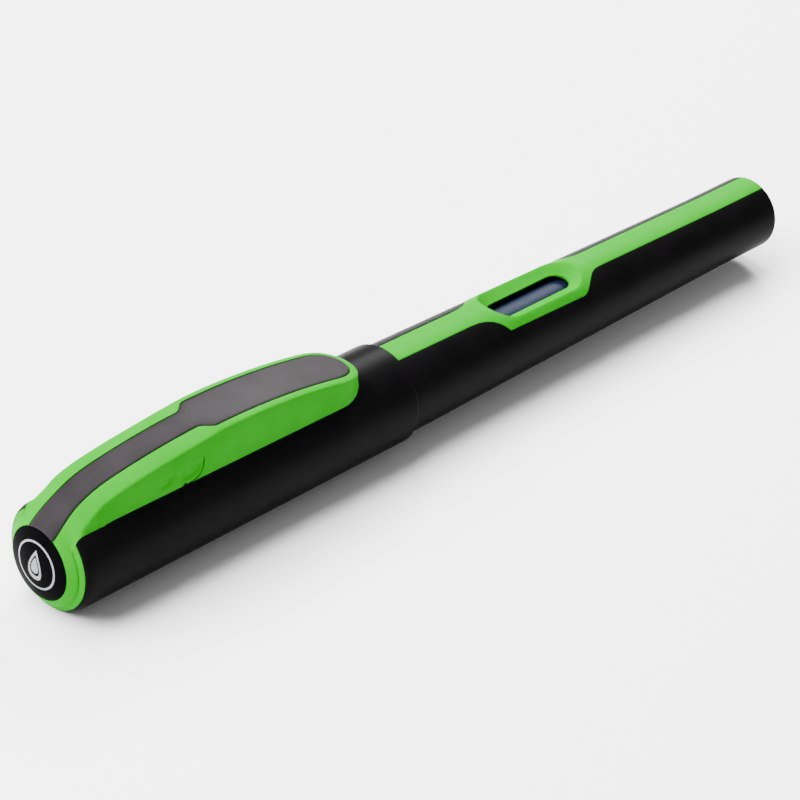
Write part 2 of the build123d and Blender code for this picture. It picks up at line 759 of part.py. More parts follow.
with BuildPart() as cartridge:
    add(cartridge_space(0))
    add(disc(CARTRIDGE_FRONT, SHOULDER + 0.5, NECK_RADIUS))
    add(cartridge_space(CARTRIDGE_WALL), mode=Mode.SUBTRACT)
    add(disc(CARTRIDGE_FRONT - 1, SHOULDER + 2, TUBE_RADIUS + 0.05), mode=Mode.SUBTRACT)
cartridge.part.label = "cartridge"
export_step(cartridge.part, "parts/cartridge.step")

with BuildPart() as cartridge_ball:
    with Locations((BALL_STATION - MIDDLE, 0, AXIS_HEIGHT + BALL_HEIGHT)):
        Sphere(BALL_RADIUS)
cartridge_ball.part.label = "cartridge_ball"
export_step(cartridge_ball.part, "parts/cartridge_ball.step")

with BuildPart() as ink:
    add(cartridge_space(CARTRIDGE_WALL + 0.02))
    split(bisect_by=PLAN.offset(INK_LEVEL), keep=Keep.BOTTOM)
    add(disc(CARTRIDGE_FRONT - 1, TUBE_END + 0.1, TUBE_RADIUS + 0.05), mode=Mode.SUBTRACT)
    with Locations((BALL_STATION - MIDDLE, 0, AXIS_HEIGHT + BALL_HEIGHT)):
        Sphere(BALL_RADIUS + 0.02, mode=Mode.SUBTRACT)
ink.part.label = "ink"
export_step(ink.part, "parts/ink.step")
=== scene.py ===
"""Looks of the capped fountain pen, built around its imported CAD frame.

Units are metres in the frame. Profiles are written in millimetres and placed by at(): stations run
along the pen, with the cap tube starting at SHOULDER_START, and sides and heights are from its axis.
"""
import math

import bmesh
import bpy
from mathutils import Matrix, Vector


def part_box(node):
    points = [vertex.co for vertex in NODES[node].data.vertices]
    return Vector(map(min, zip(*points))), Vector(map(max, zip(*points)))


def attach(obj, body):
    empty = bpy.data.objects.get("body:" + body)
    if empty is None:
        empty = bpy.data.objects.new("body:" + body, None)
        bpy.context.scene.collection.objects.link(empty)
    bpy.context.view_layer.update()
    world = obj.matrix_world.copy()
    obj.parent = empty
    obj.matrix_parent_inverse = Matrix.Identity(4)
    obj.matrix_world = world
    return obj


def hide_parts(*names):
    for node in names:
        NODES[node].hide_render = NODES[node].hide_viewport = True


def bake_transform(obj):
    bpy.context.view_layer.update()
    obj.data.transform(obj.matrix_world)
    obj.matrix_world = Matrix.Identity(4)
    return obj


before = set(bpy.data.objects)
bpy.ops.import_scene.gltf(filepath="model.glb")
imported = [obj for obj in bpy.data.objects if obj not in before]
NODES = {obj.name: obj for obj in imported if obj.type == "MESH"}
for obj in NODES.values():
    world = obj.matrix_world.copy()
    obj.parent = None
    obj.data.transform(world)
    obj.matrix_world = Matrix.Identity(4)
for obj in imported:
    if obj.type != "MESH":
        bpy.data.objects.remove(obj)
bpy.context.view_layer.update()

MM = 0.001

# ---------------------------------------------------------------- frame of the profiles
CAP_LOW, CAP_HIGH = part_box("cap_tube")
CAP_RADIUS = (CAP_HIGH.y - CAP_LOW.y) / 2 / MM
SHOULDER_START = 0.60
ORIGIN_X = CAP_LOW.x / MM - SHOULDER_START
AXIS_HEIGHT = CAP_LOW.z / MM + CAP_RADIUS

CAP_LIP, CAP_LIP_RADIUS, CAP_BORE = 58.5, 7.0, 6.55
CROWN_FRONT, CROWN_FRONT_RADIUS = -0.85, 4.95
CROWN_BACK, CROWN_BACK_RADIUS = 0.10, 6.05
MEDALLION_RISE, MEDALLION_SEAT = 0.75, -0.20
ROOT_END, ROOT_RADIUS = 5.40, 5.66
CLIP_HALF_WIDTH, CLIP_EDGE = 4.6, 4.15
CLIP_PEAK = (26, 11.32)                 # station and height of the clip's highest point
CLIP_SAG = 0.005                        # fall of the clip's back, per square millimetre from its peak
HEAD_END, HEAD_SAG, HEAD_POWER = 9, 0.0064, 2.64
CREASE_DROP = (0.62, 0.22)              # crease below the top, at the head and at the nose
FOLD_SIDE, FOLD_DROP = (4.42, 4.36), 2.0
ROOF_THICKNESS = 1.9                    # from the clip's top down to the hollow under it
SEAT_DEPTH = (0.3, 0.62)                # depth of the inlay's seat, at the head and behind it
INLAY_NARROW, INLAY_WIDE = 1.85, 3.1
INLAY_STEP, INLAY_STEP_LENGTH = 22.0, 2.7
INLAY_GAP = 0.09
INLAY_RISE = 0.13                       # rise of the inlay's middle over its edges
FLANK_GAP = (0.02, 0.12)                # gap between flank and tube, at the root and along the arm
FLANK_INNER = 3.38                      # side distance of the flank's inner face
NOSE_CENTRE, NOSE_REACH, NOSE_TUCK, NOSE_POWER = 45.7, 1.36, 0.75, 0.86
BARREL_MOUTH, BARREL_RADIUS = 55.6, 6.46
TAPER_START, TAIL_START, TAIL_RADIUS, BARREL_END = 60.0, 126.0, 5.42, 137.4
SLEEVE_WALL, CORE_BORE = 0.75, 4.55
END_WALL, END_ROUND = 1.44, 0.6         # wall and rounding of the barrel's end
CORE_END, CORE_FLOOR = 135.9, 135.0
THREAD_START, THREAD_END, THREAD_PITCH = BARREL_MOUTH + 1.0, 63.0, 1.2
THREAD_CREST, THREAD_ROOT = 5.05, 5.25  # radii of the thread inside the core
BEZEL_START, BEZEL_FRONT, BEZEL_REAR, BEZEL_END = 73.0, 78.7, 94.0, 99.0
STRIP_HALF_WIDTH, BEZEL_HALF_WIDTH = 1.95, 4.4
STRIP_FLOOR = 2.4
RIM_FRONT, RIM_REAR, RIM_HALF_WIDTH = 77.8, 96.4, 3.5
SLOT_FRONT, SLOT_REAR, SLOT_HALF_WIDTH = 79.4, 94.7, 1.8
SLOT_EDGE = 4.27                        # height of the slot's edge at the bottom of the funnel
BEZEL_PROUD, BEZEL_SLOPE = 0.14, 0.75
EDGE_DROP = 0.03                        # the green trim's edges lie this much lower
AXIS_HOLE = 0.02                        # radius at which closed ends stop, too small to see
CUT_TOP = 9.0                           # height above the tubes at which cutters end


def at(station, side, height):
    """Point of the frame, in metres, from millimetres along, across and above the pen's axis."""
    return Vector(((station + ORIGIN_X) * MM, side * MM, (height + AXIS_HEIGHT) * MM))


def smooth_step(value, start, end, first, last):
    """Smooth change from first to last as value runs from start to end."""
    t = min(max((value - start) / (end - start), 0), 1)
    return first + (last - first) * t * t * (3 - 2 * t)


def lerp(a, b, t):
    """Value a share t of the way from a to b."""
    return a + (b - a) * t


def arch(radius, side):
    """Height of a circle about the pen's axis at a side distance."""
    return math.sqrt(max(radius * radius - side * side, 0))


def spaced(start, end, step):
    """Evenly spaced values from start to end, no further apart than step."""
    count = max(1, math.ceil((end - start) / step - 1e-6))
    return [lerp(start, end, k / count) for k in range(count + 1)]


def between(first, second, t):
    """Loop of points part of the way from one loop to another of equal length."""
    return [(lerp(a[0], b[0], t), lerp(a[1], b[1], t)) for a, b in zip(first, second)]


# ---------------------------------------------------------------- mesh helpers
def mesh_object(name, points, faces, material, smooth_angle=32):
    """New object from points in metres, smooth shaded except across sharp edges."""
    mesh = bpy.data.meshes.new(name)
    mesh.from_pydata(points, [], faces)
    mesh.validate()
    welded = bmesh.new()
    welded.from_mesh(mesh)
    bmesh.ops.remove_doubles(welded, verts=welded.verts, dist=1e-7)
    bmesh.ops.dissolve_degenerate(welded, edges=welded.edges, dist=1e-7)
    bmesh.ops.recalc_face_normals(welded, faces=welded.faces)
    welded.to_mesh(mesh)
    welded.free()
    mesh.materials.append(material)
    mesh.shade_smooth()
    mesh.set_sharp_from_angle(angle=math.radians(smooth_angle))
    obj = bpy.data.objects.new(name, mesh)
    bpy.context.scene.collection.objects.link(obj)
    return obj


def cut(obj, cutter, smooth_angle=32):
    """Takes the cutter's volume out of obj and removes the cutter."""
    modifier = obj.modifiers.new("cut", "BOOLEAN")
    modifier.operation = "DIFFERENCE"
    modifier.solver = "EXACT"
    modifier.object = cutter
    view = bpy.context.evaluated_depsgraph_get()
    mesh = bpy.data.meshes.new_from_object(obj.evaluated_get(view))
    obj.modifiers.remove(modifier)
    old = obj.data
    obj.data = mesh
    bpy.data.meshes.remove(old)
    mesh.shade_smooth()
    mesh.set_sharp_from_angle(angle=math.radians(smooth_angle))
    bpy.data.objects.remove(cutter)


def stack(rows, closed_rows=False):
    """Faces that join successive rows of equal length. Each row is a closed loop."""
    points = [p for row in rows for p in row]
    width = len(rows[0])
    faces = []
    for r in range(len(rows) - (0 if closed_rows else 1)):
        after = (r + 1) % len(rows)
        for k in range(width):
            n = (k + 1) % width
            faces.append((r * width + k, r * width + n, after * width + n, after * width + k))
    if not closed_rows:
        faces.append(tuple(range(width)))
        faces.append(tuple(range((len(rows) - 1) * width, len(rows) * width)))
    return points, faces


def lathe(outline, turns=192):
    """Points and faces of a closed outline of stations and radii turned about the pen's axis."""
    rows = []
    for step in range(turns):
        angle = 2 * math.pi * step / turns
        rows.append([at(s, r * math.sin(angle), r * math.cos(angle)) for s, r in outline])
    return stack(rows, closed_rows=True)


def prism(outline, low, high):
    """Upright prism over a closed outline of stations and sides."""
    return stack([[at(s, y, low) for s, y in outline], [at(s, y, high) for s, y in outline]])


def merged(*parts):
    """Several lists of points and faces as one."""
    points, faces = [], []
    for more_points, more_faces in parts:
        start = len(points)
        points += more_points
        faces += [tuple(start + k for k in face) for face in more_faces]
    return points, faces


def rounded(corners, radii, steps):
    """Open chain of (side, height) corners with each inner corner replaced by a small arc."""
    chain = [corners[0]]
    for k in range(1, len(corners) - 1):
        before, corner, after = (Vector(corners[k + j]) for j in (-1, 0, 1))
        back_way, fore_way = before - corner, after - corner
        reach = min(radii[k - 1], 0.45 * back_way.length, 0.45 * fore_way.length)
        if reach < 1e-5:
            chain += [tuple(corner)] * (steps + 1)
            continue
        first = corner + back_way.normalized() * reach
        last = corner + fore_way.normalized() * reach
        for n in range(steps + 1):
            t = n / steps
            p = first * (1 - t) ** 2 + corner * 2 * t * (1 - t) + last * t * t
            chain.append(tuple(p))
    chain.append(corners[-1])
    return chain


# ---------------------------------------------------------------- materials
MOTTLE_SCALE = 220.0                    # patches of colour per metre
RELIEF_DEPTH = 0.02


def new_material(name):
    material = bpy.data.materials.new(name)
    material.use_nodes = True
    nodes = material.node_tree.nodes
    return material, nodes, material.node_tree.links, nodes["Principled BSDF"]


def grain(nodes, links, scale, detail=3.0, stretch=(1, 1, 1)):
    """Noise in object space at a scale per metre."""
    place = nodes.new("ShaderNodeTexCoord")
    mapping = nodes.new("ShaderNodeMapping")
    mapping.inputs["Scale"].default_value = stretch
    noise = nodes.new("ShaderNodeTexNoise")
    noise.inputs["Scale"].default_value = scale
    noise.inputs["Detail"].default_value = detail
    links.new(place.outputs["Object"], mapping.inputs["Vector"])
    links.new(mapping.outputs["Vector"], noise.inputs["Vector"])
    return noise


def moulded(name, dark, light, roughness, grain_size, bump, spread=0.08, specular=0.5,
            specular_tint=(1, 1, 1), subsurface=0.0, transmission=0.0, metallic=0.0, stretch=(1, 1, 1)):
    """Moulded or cast surface: grain in relief and gloss, its size in millimetres, and faint mottling."""
    material, nodes, links, shader = new_material(name)
    fine = grain(nodes, links, 1 / (grain_size * MM), 4.0, stretch)
    broad = grain(nodes, links, MOTTLE_SCALE, 3.0)
    tint = nodes.new("ShaderNodeValToRGB")
    tint.color_ramp.elements[0].position = 0.35
    tint.color_ramp.elements[0].color = (*dark, 1)
    tint.color_ramp.elements[1].position = 0.65
    tint.color_ramp.elements[1].color = (*light, 1)
    links.new(broad.outputs["Fac"], tint.inputs["Fac"])
    links.new(tint.outputs["Color"], shader.inputs["Base Color"])
    gloss = nodes.new("ShaderNodeMapRange")
    gloss.inputs["From Min"].default_value = 0.3
    gloss.inputs["From Max"].default_value = 0.7
    gloss.inputs["To Min"].default_value = roughness - spread / 2
    gloss.inputs["To Max"].default_value = roughness + spread / 2
    links.new(fine.outputs["Fac"], gloss.inputs["Value"])
    links.new(gloss.outputs["Result"], shader.inputs["Roughness"])
    relief = nodes.new("ShaderNodeBump")
    relief.inputs["Strength"].default_value = bump
    relief.inputs["Distance"].default_value = RELIEF_DEPTH * MM
    links.new(fine.outputs["Fac"], relief.inputs["Height"])
    links.new(relief.outputs["Normal"], shader.inputs["Normal"])
    shader.inputs["Specular IOR Level"].default_value = specular
    shader.inputs["Specular Tint"].default_value = (*specular_tint, 1)
    shader.inputs["Metallic"].default_value = metallic
    shader.inputs["Transmission Weight"].default_value = transmission
    if subsurface:
        shader.inputs["Subsurface Weight"].default_value = subsurface
        shader.inputs["Subsurface Radius"].default_value = (0.3, 1.0, 0.15)
        shader.inputs["Subsurface Scale"].default_value = 0.5 * MM
    return material


SOFT_BLACK = moulded(
    "soft_black", (0.0020, 0.0018, 0.0020), (0.0028, 0.0025, 0.0028),
    roughness=0.38, grain_size=0.09, bump=0.25, specular=0.013)
GREEN = moulded(
    "green_plastic", (0.006, 0.200, 0.004), (0.010, 0.215, 0.006),
    roughness=0.40, grain_size=0.16, bump=0.10, spread=0.05,
    specular=0.008, specular_tint=(0.8, 1.0, 0.1), subsurface=0.05)
INLAY_GREY = moulded(
    "inlay_grey", (0.0125, 0.0104, 0.0118), (0.0160, 0.0134, 0.0150),
    roughness=0.46, grain_size=0.07, bump=0.45, specular=0.03)
MEDALLION = moulded(
    "medallion_black", (0.0006, 0.0006, 0.0008), (0.0010, 0.0010, 0.0012),
    roughness=0.28, grain_size=0.12, bump=0.10, specular=0.004)
PRINT = moulded(
    "printed_mark", (0.17, 0.175, 0.185), (0.20, 0.205, 0.215),
    roughness=0.45, grain_size=0.08, bump=0.3, specular=0.2)
SECTION = moulded(
    "section_black", (0.006, 0.006, 0.0065), (0.009, 0.009, 0.0095),
    roughness=0.36, grain_size=0.10, bump=0.2, specular=0.12)
GRIP = moulded(
    "grip_rubber", (0.010, 0.010, 0.011), (0.015, 0.015, 0.016),
    roughness=0.62, grain_size=0.06, bump=0.6, specular=0.10)
SEAL = moulded(
    "seal_rubber", (0.004, 0.004, 0.004), (0.007, 0.007, 0.007),
    roughness=0.5, grain_size=0.08, bump=0.3, specular=0.15)
FEED = moulded(
    "feed_black", (0.006, 0.006, 0.0065), (0.010, 0.010, 0.0105),
    roughness=0.5, grain_size=0.07, bump=0.4, specular=0.12)
BALL = moulded(
    "ball_plastic", (0.45, 0.50, 0.62), (0.52, 0.57, 0.68),
    roughness=0.15, grain_size=0.2, bump=0.05)
RING_STEEL = moulded(
    "ring_steel", (0.50, 0.50, 0.52), (0.60, 0.60, 0.62),
    roughness=0.30, grain_size=0.15, bump=0.3, metallic=1.0, stretch=(6, 1, 1))
NIB_STEEL = moulded(
    "nib_steel", (0.58, 0.58, 0.60), (0.68, 0.68, 0.70),
    roughness=0.22, grain_size=0.10, bump=0.2, metallic=1.0, stretch=(1, 8, 8))
POINT = moulded(
    "point_alloy", (0.66, 0.66, 0.68), (0.74, 0.74, 0.76),
    roughness=0.12, grain_size=0.2, bump=0.05, metallic=1.0)
CARTRIDGE = moulded(
    "cartridge_plastic", (0.002, 0.004, 0.012), (0.003, 0.005, 0.016),
    roughness=0.46, grain_size=0.25, bump=0.05,
    specular=0.002, specular_tint=(0.5, 0.7, 1.0), transmission=0.2)
INK = moulded(
    "ink", (0.002, 0.003, 0.020), (0.003, 0.004, 0.026),
    roughness=0.08, grain_size=0.5, bump=0.02)


def set_material(node, material):
    mesh = NODES[node].data
    mesh.materials.clear()
    mesh.materials.append(material)


for node, material in {
    "cap_tube": SOFT_BLACK, "inner_cap": GREEN, "end_medallion": MEDALLION,
    "clip_base": GREEN, "clip_arm": GREEN, "clip_inlay_rear": INLAY_GREY, "clip_inlay_front": INLAY_GREY,
    "barrel_core": GREEN, "barrel_sleeve": SOFT_BLACK, "barrel_ring": RING_STEEL, "o_ring": SEAL,
    "grip_section": SECTION, "grip_pad": GRIP, "nib": NIB_STEEL, "nib_point": POINT, "feed": FEED,
    "feed_collar": SECTION, "cartridge": CARTRIDGE, "cartridge_ball": BALL, "ink": INK,
}.items():
    set_material(node, material)


# ---------------------------------------------------------------- cap tube
SHOULDER_END, SHOULDER_DROP = 1.9, 0.55
LIP_ROUND = 0.28
KEYWAY_GAP = 0.03                       # between the clip's root and the cap tube


def tube_radius(station):
    """Outer radius of the black cap tube, with its rounded shoulder."""
    if station < SHOULDER_END:
        t = (SHOULDER_END - max(station, SHOULDER_START)) / (SHOULDER_END - SHOULDER_START)
        return CAP_RADIUS - SHOULDER_DROP * (1 - math.sqrt(1 - t * t))
    return lerp(CAP_RADIUS, CAP_LIP_RADIUS, (station - SHOULDER_END) / (CAP_LIP - SHOULDER_END))


def rim_arc(station, radius, size, steps=6):
    """Quarter round from the side of a tube onto its end face."""
    return [
        (station - size + size * math.sin(a), radius - size + size * math.cos(a))
        for a in (math.pi / 2 * k / steps for k in range(steps + 1))
    ]


tube_outline = [(SHOULDER_START + 0.12, CAP_BORE), (SHOULDER_START, CAP_BORE + 0.1), (SHOULDER_START, 6.70)]
shoulder_stations = [0.62, 0.66, 0.72, 0.80, 0.90, 1.02, 1.16, 1.32, 1.5, 1.7, SHOULDER_END, 2.4]
tube_outline += [(s, tube_radius(s)) for s in shoulder_stations]
tube_outline += [(s, tube_radius(s)) for s in spaced(4.0, CAP_LIP - 0.5, 2.5)]
tube_outline += rim_arc(CAP_LIP, CAP_LIP_RADIUS, LIP_ROUND)
tube_outline += [(CAP_LIP - 0.08, CAP_BORE), (CAP_LIP - 20, CAP_BORE)]
cap_shell = mesh_object("cap_shell", *lathe(tube_outline, 256), SOFT_BLACK)
slot_side = CLIP_HALF_WIDTH + KEYWAY_GAP
slot_end = ROOT_END + KEYWAY_GAP
slot_outline = [(0.0, -slot_side), (slot_end, -slot_side), (slot_end, slot_side), (0.0, slot_side)]
cut(cap_shell, mesh_object("keyway", *prism(slot_outline, 1.0, CUT_TOP), SOFT_BLACK))
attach(cap_shell, "cap")
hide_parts("cap_tube")


# ---------------------------------------------------------------- clip
def clip_top(station):
    """Height of the clip's top surface on its centre line."""
    height = CLIP_PEAK[1] - CLIP_SAG * (station - CLIP_PEAK[0]) ** 2
    if station < HEAD_END:
        height -= HEAD_SAG * (HEAD_END - station) ** HEAD_POWER
    return height


def top_surface(station, side):
    """Height of the clip's top surface. It is round about the axis at the head and flattens behind it."""
    top = clip_top(station)
    return top - smooth_step(station, CROWN_FRONT, 5.5, 1, 0) * (top - arch(top, side))


def inlay_edge(station):
    """Half width of the inlay, without its rounded end at the nose."""
    head = smooth_step(station, -0.6, 3.0, 0.28, 0)
    step = min(max((station - INLAY_STEP) / INLAY_STEP_LENGTH, 0), 1)
    step = step * step * step * (step * (6 * step - 15) + 10)
    return INLAY_NARROW + head + (INLAY_WIDE - INLAY_NARROW) * step


def crown_radius(station):
    """Radius of the crown's cone, slightly convex."""
    t = (station - CROWN_FRONT) / (CROWN_BACK - CROWN_FRONT)
    return lerp(CROWN_FRONT_RADIUS, CROWN_BACK_RADIUS, t) + 0.05 * math.sin(math.pi * t)


def flank_side(station):
    """Side distance of the flank's lower edge."""
    t = min(max((station - CROWN_FRONT) / (CROWN_BACK - CROWN_FRONT), 0), 1)
    return lerp(inlay_edge(CROWN_FRONT) + 0.08, CLIP_HALF_WIDTH, t**0.9)


def flank_low(station, side):
    """Height of the flank's lower edge over the crown, the flange and the tube."""
    if station <= CROWN_BACK:
        return arch(crown_radius(station), side)
    if station < SHOULDER_START:
        t = (station - CROWN_BACK) / (SHOULDER_START - CROWN_BACK)
        return arch(lerp(CROWN_BACK_RADIUS, tube_radius(SHOULDER_START), t), side)
    return arch(tube_radius(station) + smooth_step(station, 4, 7, *FLANK_GAP), side)


# middle, half length and half height, and lean of the two dimples between the head and the slit
DENTS = (((15.3, 7.4), (1.5, 0.85), 0.30), ((19.4, 7.3), (2.2, 1.1), 0.22))
DENT_DEPTH = 0.20


def dent(station, height, place, size, lean):
    """Depth share of a soft oval dimple on the flank."""
    along = station - place[0]
    across = height - place[1] - lean * along
    far = (along / size[0]) ** 2 + (across / size[1]) ** 2
    return smooth_step(far, 0.15, 1.0, 1, 0)


def flank_inset(station, height):
    """How far the flank is sunk at a place."""
    return sum(DENT_DEPTH * dent(station, height, *shape) for shape in DENTS)


FLANK_STEPS = 14


def nose_point(side, turn):
    """Station and side of a point of the nose: it starts at a side distance and turns by an angle."""
    share = min(max((side - INLAY_WIDE) / (CLIP_HALF_WIDTH - INLAY_WIDE), 0), 1)
    reach = side * NOSE_REACH - NOSE_TUCK * smooth_step(share, 0.55, 1.0, 0, 1)
    return NOSE_CENTRE + reach * math.cos(turn) ** NOSE_POWER, side * math.sin(turn) ** NOSE_POWER


def clip_half(station, nose=None):
    """Half cross-section of the clip, from the seat's centre over the top and back under the roof.

    With nose given as an angle, each point turns about the nose's centre by that angle instead.
    """
    low_side = flank_side(station)

    def place(side):
        return (station, side) if nose is None else nose_point(side, nose)

    def height_at(side, drop, share):
        top = top_surface(*place(side))
        low = flank_low(*place(low_side))
        return top - min(drop, share * (top - low))

    edge = min(inlay_edge(station) + INLAY_GAP, low_side - 0.004)
    arm_share = smooth_step(station, 16, 28, 0, 1)
    spread = smooth_step(station, CROWN_FRONT, 1.4, 0, 1)
    crease = lerp(lerp(edge, low_side, 0.55), CLIP_EDGE, spread)
    fold = lerp(lerp(edge, low_side, 0.8), lerp(*FOLD_SIDE, arm_share), spread)
    depth = smooth_step(station, 0, 6, *SEAT_DEPTH)
    corners = [
        (edge, height_at(edge, 0, 0)),
        (crease, height_at(crease, lerp(*CREASE_DROP, arm_share), 0.3)),
        (fold, height_at(fold, FOLD_DROP, 0.62)),
        (low_side, height_at(low_side, math.inf, 1)),
    ]
    upper = rounded(corners, (0.28, 0.5), 5)
    lip_drop = min(0.10, depth / 3)
    first = Vector(upper[0])
    second = Vector(upper[1])
    seat = []
    for k in range(3):
        side = edge * k / 2
        floor = top_surface(*place(side)) - depth
        if station < MEDALLION_SEAT + 0.01:
            floor = max(floor, arch(CROWN_FRONT_RADIUS + 0.012, side))
        if station < -0.7:
            floor = min(floor, corners[0][1] - 0.004)
        seat.append((side, floor))
    chain = seat + [(edge, first.y - lip_drop)]
    if (second - first).length > 0.3:
        turn = first + (second - first).normalized() * 0.10
        chain += [(edge + 0.025, first.y - 0.03), tuple(turn)]
    else:
        chain += [(edge, first.y - lip_drop * 0.5), tuple(first)]
    chain += upper[1:-1]
    start, end = Vector(upper[-2]), Vector(upper[-1])
    for k in range(1, FLANK_STEPS):
        chain.append(tuple(start.lerp(end, k / FLANK_STEPS)))
    chain += [tuple(start.lerp(end, 0.985)), (end.x - 0.03 * spread, end.y)]

    if station < ROOT_END + 0.005:
        root = ROOT_RADIUS
        if station < CROWN_BACK:
            root = 4.3 if station > MEDALLION_SEAT else CROWN_FRONT_RADIUS + 0.004
        inner_side = max(low_side - 0.05, 0)
        inner = [(inner_side * k, arch(root, inner_side * k)) for k in (1.0, 0.75, 0.5, 0.25, 0.0)]
        under = [(y, min(z, end.y - 0.01 if y > 2 else z)) for y, z in inner]
    else:
        under = [(FLANK_INNER, flank_low(*place(FLANK_INNER)))]
        for side in (3.0, 2.0, 1.0, 0.0):
            ceiling = top_surface(*place(side)) - ROOF_THICKNESS
            under.append((side, max(ceiling, flank_low(*place(side)) + 0.2)))
    chain += under
    result = []
    for side, height in chain:
        s, y = place(side)
        if nose is None and side > 3.6 and height > flank_low(station, side) + 0.05:
            y -= flank_inset(station, height)
        result.append((s, y, height))
    return result


def mirrored_rows(halves):
    """Closed loops from half cross-sections that start and end on the centre plane."""
    rows = []
    for half in halves:
        other = [(s, -y, z) for s, y, z in half[-2:0:-1]]
        rows.append([at(*p) for p in half + other])
    return rows


clip_stations = [CROWN_FRONT, -0.7, -0.5, -0.35]
clip_stations += [MEDALLION_SEAT - 0.003, MEDALLION_SEAT + 0.013, -0.05]
clip_stations += [CROWN_BACK - 0.002, CROWN_BACK + 0.002, 0.3, 0.45, SHOULDER_START]
clip_stations += spaced(0.85, ROOT_END, 0.25)[:-1] + [ROOT_END, ROOT_END + 0.01]
clip_stations += spaced(5.7, 13.0, 0.4) + spaced(13.2, 25.6, 0.2) + spaced(26.0, NOSE_CENTRE, 0.5)
NOSE_TURNS = 20


def clip_body():
    """Points and faces of the clip. Its last half lies on the centre plane, where both sides meet."""
    halves = [clip_half(s) for s in clip_stations]
    halves += [clip_half(NOSE_CENTRE, math.pi / 2 * (1 - k / NOSE_TURNS)) for k in range(1, NOSE_TURNS + 1)]
    rows = mirrored_rows(halves[:-1])
    points, faces = stack(rows)
    faces.pop()
    tip_start = len(points)
    points += [at(s, 0, z) for s, _, z in halves[-1]]
    loop = len(rows[0])
    last_row = (len(rows) - 1) * loop
    for k in range(len(halves[0]) - 1):
        tip = (tip_start + k + 1, tip_start + k)
        faces.append((last_row + k, last_row + k + 1, *tip))
        faces.append((last_row + (loop - k) % loop, last_row + loop - k - 1, *tip))
    return points, faces


CROWN_BORE, CROWN_STEPS = 3.2, 150


def crown():
    """Ring around the medallion, open on the clip's side between the flanks' front edges."""
    stations = [CROWN_FRONT, -0.7, -0.5, -0.35, MEDALLION_SEAT, -0.05, CROWN_BACK - 0.06]
    profile = [(s, crown_radius(s), math.asin(flank_side(s) / crown_radius(s))) for s in stations]
    back_gap = profile[-1][2]
    front_gap = profile[0][2]
    profile += [(CROWN_BACK, CROWN_BACK_RADIUS - 0.08, back_gap)]
    profile += [(CROWN_BACK, CROWN_BORE, back_gap), (MEDALLION_SEAT, CROWN_BORE, back_gap)]
    profile += [(MEDALLION_SEAT, CROWN_FRONT_RADIUS - 0.02, lerp(front_gap, back_gap, 0.6))]
    profile += [(CROWN_FRONT + 0.06, CROWN_FRONT_RADIUS - 0.04, front_gap)]
    rows = []
    for k in range(CROWN_STEPS + 1):
        row = []
        for s, r, gap in profile:
            angle = lerp(gap, 2 * math.pi - gap, k / CROWN_STEPS)
            row.append(at(s, r * math.sin(angle), r * math.cos(angle)))
        rows.append(row)
    return stack(rows)


crown_ring = mesh_object("crown", *crown(), GREEN, 24)
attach(crown_ring, "cap")

RIB_START, RIB_END, RIB_HALF_WIDTH, RIB_LOW, RIB_HIGH = 44.2, 45.6, 2.9, 7.15, 8.6
rib_outline = [(RIB_START, -RIB_HALF_WIDTH), (RIB_END, -RIB_HALF_WIDTH)]
rib_outline += [(RIB_END, RIB_HALF_WIDTH), (RIB_START, RIB_HALF_WIDTH)]
rib = mesh_object("clip_rib", *prism(rib_outline, RIB_LOW, RIB_HIGH), GREEN)
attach(rib, "clip")

SLIT = ((21.30, 8.50), (21.38, 7.95), (21.33, 7.4), (21.18, 6.9), (20.85, 6.4), (20.3, 6.02), (19.6, 5.8),
        (18.9, 5.68), (18.35, 5.56), (18.2, 5.2))
SLIT_HALF_WIDTH = 0.1
SLIT_SIDES = (3.4, 4.9)
NOTCH_CENTRE, NOTCH_RADIUS = (18.32, 5.66), 0.34


def through_flank(name, outline, side):
    """Cutter over an outline of stations and heights, through the flank on one side."""
    rows = [[at(s, side * reach, z) for s, z in outline] for reach in SLIT_SIDES]
    return mesh_object(name, *stack(rows), GREEN)


def slit_cutters(side):
    """Thin curved blade through one flank, and a small notch where it leaves the lower edge."""
    left, right = [], []
    for k, here in enumerate(SLIT):
        before, after = Vector(SLIT[max(k - 1, 0)]), Vector(SLIT[min(k + 1, len(SLIT) - 1)])
        way = (after - before).normalized()
        aside = Vector((-way.y, way.x)) * SLIT_HALF_WIDTH
        left.append(Vector(here) + aside)
        right.append(Vector(here) - aside)
    turns = [2 * math.pi * k / 20 for k in range(20)]
    ring = [(NOTCH_CENTRE[0] + NOTCH_RADIUS * math.cos(a), NOTCH_CENTRE[1] + NOTCH_RADIUS * math.sin(a))
            for a in turns]
    return through_flank("blade", left + right[::-1], side), through_flank("notch", ring, side)


clip = mesh_object("clip", *clip_body(), GREEN, 24)
for flank in (-1, 1):
    for cutter in slit_cutters(flank):
        cut(clip, cutter, 24)
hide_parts("clip_base", "clip_arm")
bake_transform(clip)


